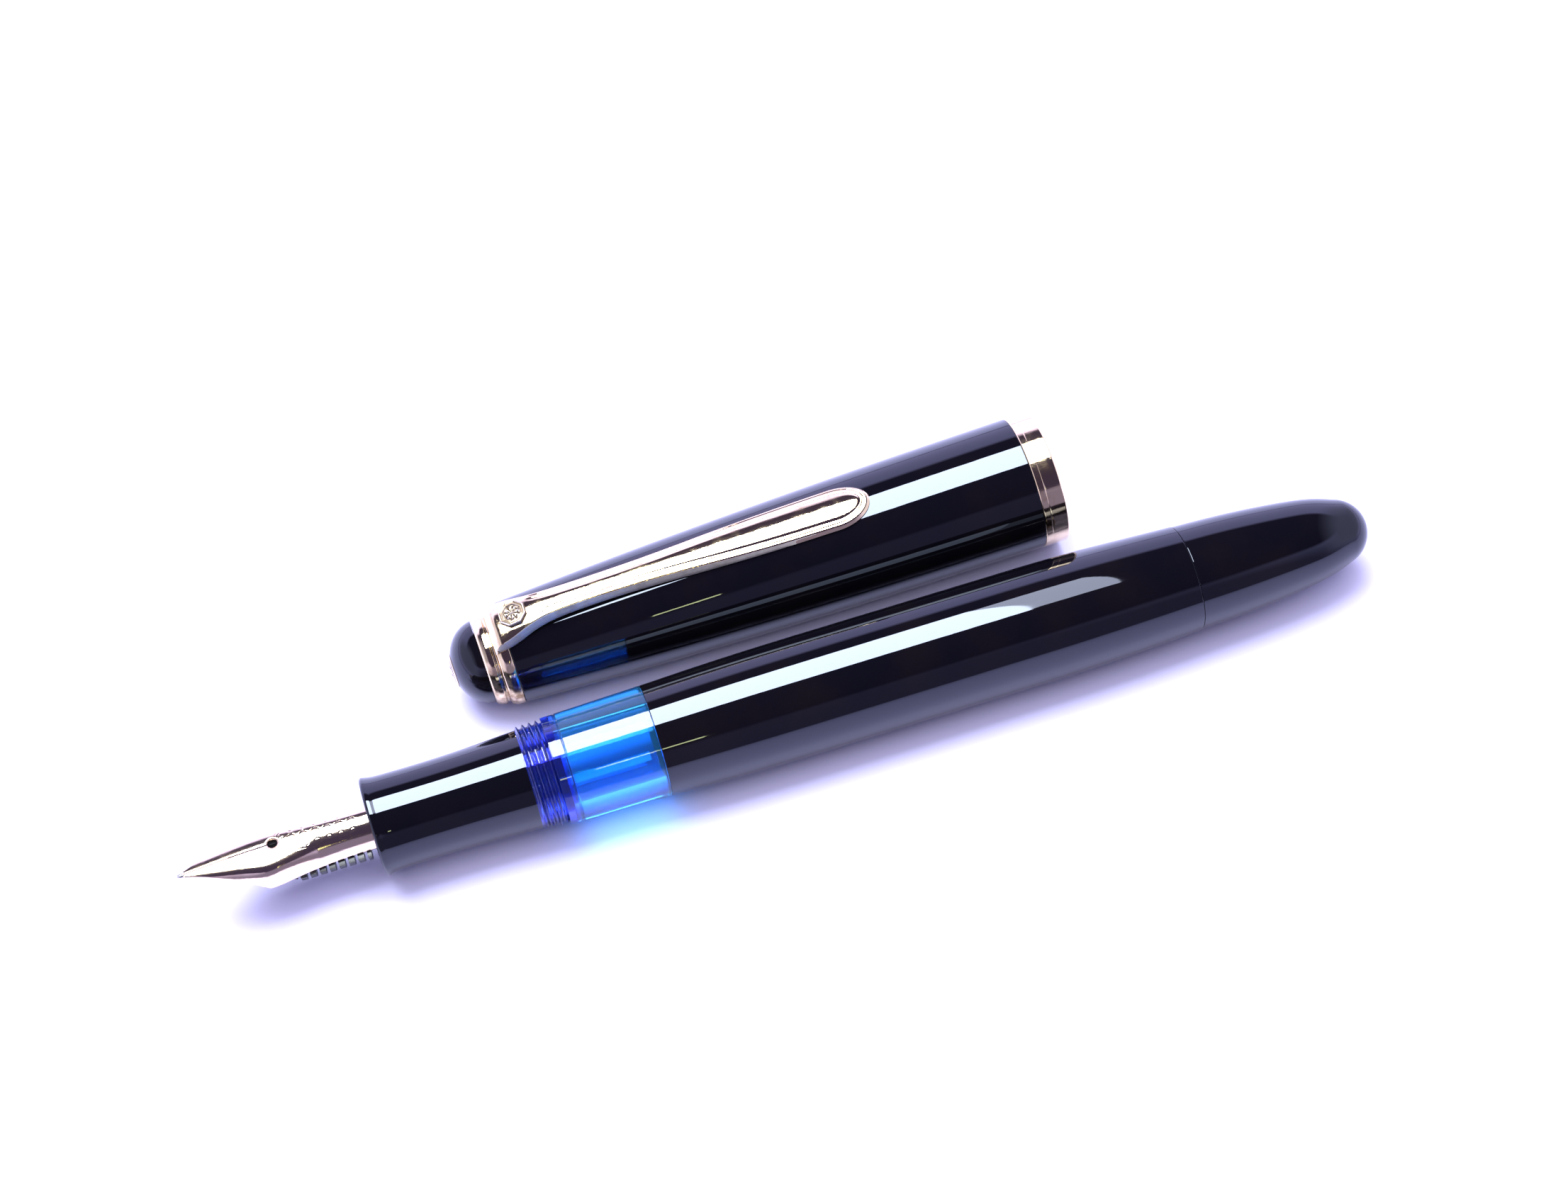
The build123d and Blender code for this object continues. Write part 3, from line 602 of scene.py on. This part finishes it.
# feed: core radius along the spline; below, fins stand out to the fin radius between the gaps; above, the
# ink channel cuts straight down to its floor; the nose keeps its top under the nib while its bottom rises
def inkFeed():
    f = feedSize
    count = int((f["finBack"] - f["finFront"]) / f["pitch"])
    centres = f["finBack"] - f["pitch"] * (np.arange(count) + 0.6)
    edges = np.concatenate([centres - f["gap"] / 2, centres + f["gap"] / 2, [f["finFront"], f["finBack"]]])
    near = (edges[:, None] + np.array([-0.05, -0.02, -0.004, 0.004, 0.02, 0.05])[None, :]).ravel()
    x = np.unique(np.concatenate([
        near, np.linspace(f["front"], f["finFront"], 22), np.linspace(f["finFront"], f["tail"], 60),
        np.linspace(f["tail"], f["back"], 8),
    ]))[:, None]
    lip = np.degrees(np.arcsin(f["channel"] / f["channelTop"]))
    angle = np.unique(np.concatenate([
        np.linspace(0, 360, 120, endpoint=False), [82, 92, 93.5, 95, 265, 266.5, 268, 278],
        lip * np.array([-1.02, -0.98, 0.98, 1.02]) + np.array([360, 360, 0, 0]),
    ]))
    angle = np.radians(angle)[None, :]
    core = throughKnots(f["knots"], x)
    inFins = (x > f["finFront"]) & (x < f["finBack"])
    inGap = (np.abs(x - centres[None, :]).min(axis=1, keepdims=True) < f["gap"] / 2)
    ramp = np.clip((x - f["finFront"]) / 0.8, 0, 1)
    finRadius = core + (f["fin"] - core) * (0.55 + 0.45 * ramp)
    edgeAway = np.abs(x - edges[None, :]).min(axis=1, keepdims=True)
    finRadius = finRadius - 0.035 * np.clip(1 - edgeAway / 0.05, 0, 1) ** 2
    below = np.clip((-np.cos(angle) - 0.04) / 0.03, 0, 1)
    r = np.where(inFins & ~inGap, core + (finRadius - core) * below, core + 0 * below)
    side, up = r * np.sin(angle), r * np.cos(angle)
    cut = (np.abs(side) < f["channel"]) & (up > 0)
    up = np.where(cut, np.minimum(up, f["channelFloor"]), up)
    nose = x < f["finFront"]
    bottom = throughKnots(f["bottom"], np.minimum(x, f["finFront"]))
    up = np.where(nose, up / core * (f["top"] - bottom) / 2 + (f["top"] + bottom) / 2, up)
    body = penLine.point(x, side, up)
    body = np.concatenate([body, body[-1:].mean(axis=1, keepdims=True) + 0 * body[-1:]])
    body = np.concatenate([body[:1].mean(axis=1, keepdims=True) + 0 * body[:1], body])
    return body.reshape(-1, 3), gridFaces(len(body), angle.shape[1], False, True)


makePiece("gripSection", gripSection(), resin, "pen", ["grip_section"])
makePiece("inkChamber", inkChamber(), clearBlue, "pen", ["ink_chamber"])
makePiece("barrelSleeve", barrelSleeve(), resin, "pen", ["barrel_sleeve"])
makePiece("turningKnob", turningKnob(), resin, "knob", ["turning_knob"])
makePiece("nib", joined(nibHalf(1), nibHalf(-1)), penGold, "pen", ["nib"], sharp=50)
makePiece("nibTipping", joined(pellet(1), pellet(-1)), hardTip, "pen", ["nib_tipping"])
makePiece("feed", inkFeed(), feedBlack, "pen", ["feed"], sharp=40)
print("pen pieces ready")


# Pieces of the cap
capSize = {
    "crown": 2.85, "bandFront": 56.9, "mouth": 59.5, "spigot": 6.38, "bore": 5.95,
    "relief": 5.32, "minor": 5.0, "threadFront": 40.4, "threadBack": 43.1, "pitch": 0.66,
    "linerBack": 25.2, "liner": 4.45, "crownBack": 4.9, "stud": 1.23,
    "knots": ((2.85, 5.18), (12.0, 5.66), (24.0, 6.14), (40.0, 6.56), (56.9, 6.75)),
}


def capTube():
    c = capSize
    outside = spun(c["knots"], 60)
    rows = np.linspace(c["threadBack"] - 0.02, c["threadFront"] + 0.02, 70)
    thread = np.stack([rows, np.full(len(rows), c["relief"])], axis=1)
    mouthSide = softened([
        outside[-2], (c["bandFront"], c["knots"][-1][1]), (c["bandFront"], c["spigot"]),
        (c["mouth"] - 0.02, c["spigot"]), (c["mouth"] - 0.02, c["bore"] + 0.12),
        (c["mouth"] - 0.14, c["bore"]), (c["threadBack"] + 0.3, c["bore"]), (c["threadBack"], c["relief"]),
    ], 0.05, closed=False)
    crownSide = softened([
        (c["threadFront"], c["relief"]), (c["linerBack"], c["relief"]), (c["linerBack"], c["liner"]),
        (c["crownBack"], c["liner"]), (c["crownBack"], c["stud"]), (c["crown"], c["stud"]),
        (c["crown"], c["knots"][0][1]), outside[1],
    ], 0.05, closed=False)
    outline = np.concatenate([outside[2:-2], mouthSide, thread, crownSide])
    ridge = threadRelief(c["threadFront"], c["threadBack"], c["pitch"], c["minor"] - c["relief"])
    before = len(outside) - 4 + len(mouthSide)
    onThread = np.zeros((len(outline), 1))
    onThread[before:before + len(thread)] = 1
    return turned(
        capLine, outline, 192, relief=lambda x, r, angle: ridge(x, r, angle) * onThread,
    )


# outlines of the cap's turned trim
trim = {
    "ring": ((0, 2.93), (0, 4.27), (0.18, 4.54), (0.62, 4.70), (1.00, 4.74), (1.16, 4.62), (1.34, 4.64),
             (1.52, 4.94), (1.95, 5.14), (2.45, 5.20), (2.82, 5.12), (2.82, 2.93)),
    "band": ((56.92, 6.41), (56.92, 6.72), (57.02, 6.79), (57.60, 6.79), (57.66, 6.765), (57.72, 6.79),
             (59.25, 6.79), (59.5, 6.54), (59.5, 6.41)),
    "finialInside": ((-1.6, 0), (-1.6, 1.23), (2.79, 1.23), (2.79, 2.9), (-0.03, 2.9), (-0.03, 4.26)),
    "finialRim": 4.26, "finialBack": -0.03, "finialFullness": 0.10,
    "finialFace": ((-2.90, 1.84), (-2.76, 1.78), (-2.76, 0)),
}


def finialDome():
    t = trim
    faceAt, faceRadius = t["finialFace"][0]
    r = np.linspace(t["finialRim"], faceRadius, 34)
    lean = np.sqrt(np.clip(1 - (r / 4.3) ** 2, 0, 1))
    share = (lean - lean[0]) / (lean[-1] - lean[0]) * (1 + t["finialFullness"] * (1 - lean / lean[-1]))
    height = t["finialBack"] + (faceAt - t["finialBack"]) * share
    dome = np.stack([height, r], axis=1)
    inside = softened(t["finialInside"], 0.06, closed=False)
    face = softened([dome[-2], *t["finialFace"]], 0.05, closed=False)
    return turned(capLine, np.concatenate([inside, dome[1:-2], face]), 144, closed=False)


# A rosette in low relief: frame bead, channel, ring bead, petals and boss, each a bell curve of the share of
# the radius, over a low dome; the rim is a circle, or an octagon whose radius is its half width over the
# cosine of the turn
def rosette(centre, first, second, normal, rim, thickness, petals, height, dome=0):
    share = np.concatenate([np.linspace(0, 0.97, 64), [0.985, 0.995, 1.0]])[:, None]
    turn = np.linspace(0, 2 * math.pi, 144, endpoint=False)[None, :]

    def bell(at, width):
        return np.exp(-((share - at) / width) ** 2)

    folds = np.abs(np.cos(petals * turn / 2)) ** 0.7
    leaf = folds * bell(0.36, 0.17) - 0.4 * (1 - folds) * bell(0.36, 0.2)
    relief = bell(0.89, 0.055) + 0.75 * bell(0.66, 0.035) + 0.95 * leaf + 0.8 * bell(0.0, 0.10)
    rounding = 0.5 * np.clip((share - 0.95) / 0.05, 0, 1) ** 2
    top = thickness + dome * (1 - share ** 2) + height * (relief - rounding)
    radius = rim(turn) * share
    back = np.concatenate([rim(turn), 0 * turn])
    radius = np.concatenate([radius, back])
    depth = np.concatenate([top + 0 * turn, np.zeros((2, turn.shape[1]))])
    x, y = radius * np.cos(turn), radius * np.sin(turn)
    points = centre + mm * (x[..., None] * first + y[..., None] * second + depth[..., None] * normal)
    shown = np.concatenate([relief + 0 * turn, np.zeros((2, turn.shape[1]))])
    return points.reshape(-1, 3), gridFaces(len(radius), turn.shape[1], False, True), shown.ravel()


badge = {
    "station": 4.2, "height": 6.50, "tilt": 10.0, "half": 1.38, "thickness": 0.36, "petals": 8, "relief": 0.17,
}


def clipBadge():
    b = badge
    lean = math.radians(b["tilt"])
    first = capLine.along * math.cos(lean) + capLine.up * math.sin(lean)
    normal = capLine.up * math.cos(lean) - capLine.along * math.sin(lean)
    eighth = math.pi / 4

    def octagon(turn):
        return b["half"] / np.cos((turn + eighth / 2) % eighth - eighth / 2)

    return rosette(
        capLine.point(b["station"], 0, b["height"]), first, capLine.side, normal, octagon,
        b["thickness"], b["petals"], b["relief"],
    )


finialMark = {"station": -2.77, "radius": 1.75, "thickness": 0.14, "petals": 6, "relief": 0.10, "dome": 0.40}


def finialBadge():
    f = finialMark
    return rosette(
        capLine.point(f["station"], 0, 0), capLine.side, capLine.up, -capLine.along,
        lambda turn: f["radius"] + 0 * turn, f["thickness"], f["petals"], f["relief"], f["dome"],
    )


clipSize = {
    "front": 1.45, "noseStart": 37.2, "noseLength": 3.5, "bend": 4.6, "edge": 0.10,
    "top": ((1.45, 6.10), (4.2, 6.67), (6.2, 6.92), (10.0, 7.06), (17.0, 7.08), (26.0, 7.08), (33.0, 7.06),
            (39.3, 7.00), (40.7, 6.94)),
    "half": ((1.45, 2.42), (3.4, 2.24), (4.6, 1.94), (6.4, 1.55), (9.0, 1.34), (12.0, 1.30), (20.0, 1.50),
             (25.0, 1.80), (30.0, 2.04), (37.2, 2.20)),
    "thick": ((1.45, 1.40), (4.2, 1.30), (8.0, 1.10), (12.0, 0.98), (20.0, 0.92), (30.0, 0.78), (38.6, 0.50),
              (40.7, 0.40)),
    "capGap": 0.10, "ringTop": 5.20, "beadStart": 5.6, "beadRun": 2.0,
    "beads": ((0.060, 0.15, 0.13), (0.034, 0.44, 0.10), (-0.05, 0.68, 0.17)),
    "frontRun": 0.80, "frontDrop": 0.80, "frontPower": 1.6, "tipStart": 39.0, "tipRun": 1.7, "tipDrop": 0.10,
}


# clip: across each station the top is the centre line's height less s^2 over twice the bend, with a double
# bead and a trough that follow the distance to the outline; the nose is half an ellipse, the foot's front
# slopes down to the ring, and the underside is the top lowered by a thickness, never below the cap
def springClip():
    c = clipSize
    step = np.concatenate([[0, 0.03, 0.08, 0.15, 0.25, 0.38, 0.52, 0.68, 0.86], np.linspace(1.05, 35.75, 196)])
    nose = np.radians(np.linspace(0, 90, 40))[1:]
    rimU = np.concatenate([c["front"] + step, c["noseStart"] + c["noseLength"] * np.sin(nose)])[:, None]
    turn = np.concatenate([0 * step, nose])[:, None]
    blade = throughKnots(c["half"], np.minimum(rimU, c["noseStart"]))
    rimS = np.where(turn > 0, c["half"][-1][1] * np.cos(turn), blade)
    t = np.sin(np.radians(np.linspace(-90, 90, 72)))[None, :]
    t = 0.6 * t + 0.4 * np.linspace(-1, 1, 72)[None, :]

    def away(u, s):
        gap = np.hypot(u[..., None] - rimU[:, 0], np.abs(s)[..., None] - rimS[:, 0])
        return gap.min(axis=-1)

    def bell(d, at, width):
        return np.exp(-((d - at) / width) ** 2)

    def topHeight(u, s):
        d = away(u, s)
        start = np.clip((u - c["beadStart"]) / c["beadRun"], 0, 1)
        beads = sum(height * bell(d, at, width) for height, at, width in c["beads"])
        front = np.clip(1 - (u - c["front"]) / c["frontRun"], 0, 1)
        slope = c["frontDrop"] * front ** c["frontPower"]
        dip = c["tipDrop"] * np.clip((u - c["tipStart"]) / c["tipRun"], 0, 1) ** 2
        return throughKnots(c["top"], u) - s ** 2 / (2 * c["bend"]) + beads * start - slope - dip

    def ring(inset, side):
        u = rimU - inset * np.sin(turn)
        return u, side * np.maximum(rimS - inset * np.cos(turn), 0)

    inset = c["edge"]
    topU = rimU - inset * np.sin(turn) + 0 * t
    topS = np.maximum(rimS - inset * np.cos(turn), 0) * t
    top = topHeight(topU, topS)
    thick = throughKnots(c["thick"], topU)
    capKnots = np.minimum(np.maximum(topU, capSize["knots"][0][0]), 56)
    capRadius = np.maximum(throughKnots(capSize["knots"], capKnots), c["ringTop"]) + c["capGap"]
    floorHeight = np.sqrt(np.clip(capRadius ** 2 - topS ** 2, 1, None))
    under = np.maximum(top - thick, floorHeight)
    under = np.minimum(under, top - 0.2)

    walls = []
    shares = ((0.05, 0.03), (0.01, 0.10), (-0.02, 0.22), (-0.10, 0.5), (-0.20, 0.85), (-0.18, 0.98))
    for side, column in ((1, -1), (-1, 0)):
        wallTop, wallUnder = top[:, column], under[:, column]
        parts = [(*ring(i, side), wallTop + (wallUnder - wallTop) * f) for i, f in shares]
        columnsOf = [np.concatenate([u, s, h[:, None]], axis=1) for u, s, h in parts]
        walls.append(np.stack(columnsOf if side > 0 else columnsOf[::-1], axis=1))
    topGrid = np.stack([topU, topS, top], axis=-1)
    underGrid = np.stack([topU, topS, under], axis=-1)[:, ::-1]
    loop = np.concatenate([topGrid, walls[0], underGrid, walls[1]], axis=1)
    loop = np.roll(loop, len(shares) // 2, axis=1)
    rows, columns = loop.shape[:2]
    k = np.arange(columns // 2 - 1)
    frontEnd = np.stack([k, k + 1, columns - 2 - k, columns - 1 - k], axis=1)
    points = capLine.point(loop[..., 0], loop[..., 1], loop[..., 2])
    return points.reshape(-1, 3), np.concatenate([gridFaces(rows, columns, False, True), frontEnd])


makePiece("capTube", capTube(), resin, "cap", ["cap_tube"])
ringShell = turned(capLine, softened(trim["ring"], 0.12), 160)
makePiece("clipRing", ringShell, trimGold, "cap", ["clip_ring"])
bandShell = turned(capLine, softened(trim["band"], 0.05), 176)
makePiece("capBand", bandShell, trimGold, "cap", ["cap_band"])
makePiece("finial", finialDome(), resin, "cap", ["finial"])
makePiece("finialBadge", finialBadge(), badgeMetal, "cap", ["finial_badge"], sharp=60)
clipPiece = makePiece("clip", springClip(), trimGold, "clip", ["clip"], sharp=45)
# faces of the clip that lean past sixty degrees from its top are its rougher, unpolished sides
normals = np.zeros(3 * len(clipPiece.data.polygons))
clipPiece.data.polygons.foreach_get("normal", normals)
facing = normals.reshape(-1, 3) @ capLine.up
clipPiece.data.materials.append(clipSide)
clipPiece.data.polygons.foreach_set("material_index", (facing < math.cos(math.radians(60))).astype(np.int32))
makePiece("clipBadge", clipBadge(), badgeMetal, "clip", ["clip_badge"], sharp=60)
print("cap pieces ready")

# The inner nodes keep their own meshes
innerFinish = {
    turnedBrass: ("drive_nut", "finial_stud", "stud_nut", "nut_retainer"),
    turnedSteel: ("piston_rod", "rod_pin", "stud_washer", "thrust_washer"),
    innerPlastic: ("nib_collar", "rod_guide", "filler_housing", "knob_insert", "piston_head", "inner_cap"),
    paleSeal: ("piston_seal",),
}
for finish, nodes in innerFinish.items():
    for node in nodes:
        for slot in frame["nodes"][node].material_slots:
            slot.material = finish
print("inner nodes finished")

# Stage, light and camera
stageSize = {"half": 2.5, "drop": 0.00002}


def paleFloor():
    f = Finish("paleFloor")
    tooth = f.noise(f.place(), 900.0, 4.0, 0.6)
    tone = f.noise(f.place(), 3.0, 2.0)
    return f.surface(
        Base_Color=f.blend(tone, (0.32, 0.31, 0.48), (0.34, 0.33, 0.50)), Roughness=0.75 + 0.1 * tooth,
        Specular_IOR_Level=0.2, Normal=f.bump(tooth, 0.00003, 0.2),
    )


reach = stageSize["half"]
floorMesh = bpy.data.meshes.new("paleFloor")
corners = [(x * reach, y * reach, -stageSize["drop"]) for x, y in ((-1, -1), (1, -1), (1, 1), (-1, 1))]
floorMesh.from_pydata(corners, [], [(0, 1, 2, 3)])
floorMesh.materials.append(paleFloor())
floorPiece = bpy.data.objects.new("paleFloor", floorMesh)
bpy.context.scene.collection.objects.link(floorPiece)

# lights, each by its centre, size along x and across, radiance and colour: the overhead strip is the bright
# window of the highlights, a dimmer stretch ends it, a small warm one draws the thin streaks, and a wide fill,
# kept out of reflections, whitens the floor and lightens the shadows; the glow is the light that comes through
# the clear window onto the floor before it
lights = {
    "overhead": {
        "centre": (-0.045, 0.125, 0.40), "size": (0.29, 0.27), "radiance": 27.0, "colour": (0.86, 0.93, 1.0),
    },
    "overheadEnd": {
        "centre": (0.125, 0.125, 0.40), "size": (0.05, 0.25), "radiance": 9.0, "colour": (0.85, 0.88, 1.0),
    },
    "warmStreak": {
        "centre": (-0.0125, -0.228, 0.194), "size": (0.018, 0.010), "radiance": 13.0,
        "colour": (0.95, 1.0, 0.45),
        "turn": (math.radians(49.6), 0, 0),
    },
    "fill": {
        "centre": (0.0, 0.0, 0.90), "size": (1.20, 1.20), "radiance": 6.0, "colour": (1.0, 0.98, 1.0),
        "seen": False,
    },
    "windowGlow": {
        "centre": tuple(penLine.point(4.4, 5.6, -3.4).tolist()), "size": (0.0085, 0.004), "radiance": 5.0,
        "colour": (0.04, 0.50, 1.0), "seen": False,
    },
}


# an area light's power for a wanted radiance: pi times area times radiance
def panel(name, centre, size, radiance, colour, turn=(0, 0, 0), seen=True):
    light = bpy.data.lights.new(name, "AREA")
    light.shape = "RECTANGLE"
    light.size, light.size_y = size
    light.energy = math.pi * size[0] * size[1] * radiance
    light.color = colour
    lamp = bpy.data.objects.new(name, light)
    lamp.location = centre
    lamp.rotation_euler = turn
    lamp.visible_glossy = lamp.visible_transmission = lamp.visible_camera = seen
    bpy.context.scene.collection.objects.link(lamp)
    return lamp


for name, facts in lights.items():
    panel(name, **facts)

# world: a pale lilac band low down all round but at the front, bright sides, nearly dark above
sky = {"low": (1.5, 1.42, 2.5), "high": (0.05, 0.04, 0.10), "sides": (0.9, 0.9, 1.3), "top": 0.60, "soft": 0.08}


def studioWorld():
    world = bpy.data.worlds.new("studioWorld")
    bpy.context.scene.world = world
    f = Finish(world)
    direction = f.node("ShaderNodeTexCoord", output="Generated")
    along, across, up = (f.split(direction, part) for part in range(3))
    low = 1 - up.ramp(sky["top"] - sky["soft"], sky["top"])
    notFront = across.ramp(-0.85, -0.35)
    sides = along.math("ABSOLUTE").ramp(0.58, 0.78)
    tone = f.blend(low * (0.12 + 0.88 * notFront), sky["high"], sky["low"])
    tone = f.blend(sides * up.ramp(0.05, 0.2), tone, sky["sides"])
    shine = f.node("ShaderNodeBackground", inputs={"Color": tone, "Strength": 1.0})
    f.node("ShaderNodeOutputWorld", inputs={"Surface": shine})


studioWorld()

eye = {
    "target": (4.438, 7.710, 0), "distance": 309.18, "azimuth": -12.63, "elevation": 58.2, "roll": -6.0,
    "lens": 69.73, "sensor": 36.0,
}


# the camera looks along the direction of its azimuth and elevation, then rolls about it
def setCamera():
    e = eye
    azimuth, elevation, roll = (math.radians(e[k]) for k in ("azimuth", "elevation", "roll"))
    ahead = np.array([-math.sin(azimuth) * math.cos(elevation), math.cos(azimuth) * math.cos(elevation),
                      -math.sin(elevation)])
    right = np.array([math.cos(azimuth), math.sin(azimuth), 0])
    up = np.cross(right, ahead)
    rolledRight = right * math.cos(roll) + up * math.sin(roll)
    rolledUp = up * math.cos(roll) - right * math.sin(roll)
    place = mm * (np.array(e["target"]) - e["distance"] * ahead)
    camera = bpy.data.cameras.new("camera")
    camera.lens, camera.sensor_width, camera.sensor_fit = e["lens"], e["sensor"], "HORIZONTAL"
    camera.clip_start = 0.01
    holder = bpy.data.objects.new("camera", camera)
    matrix = np.eye(4)
    matrix[:3, 0], matrix[:3, 1], matrix[:3, 2], matrix[:3, 3] = rolledRight, rolledUp, -ahead, place
    holder.matrix_world = Matrix(matrix.tolist())
    bpy.context.scene.collection.objects.link(holder)
    bpy.context.scene.camera = holder


setCamera()
bpy.context.scene.view_settings.view_transform = "Standard"
print("stage, light and camera ready")
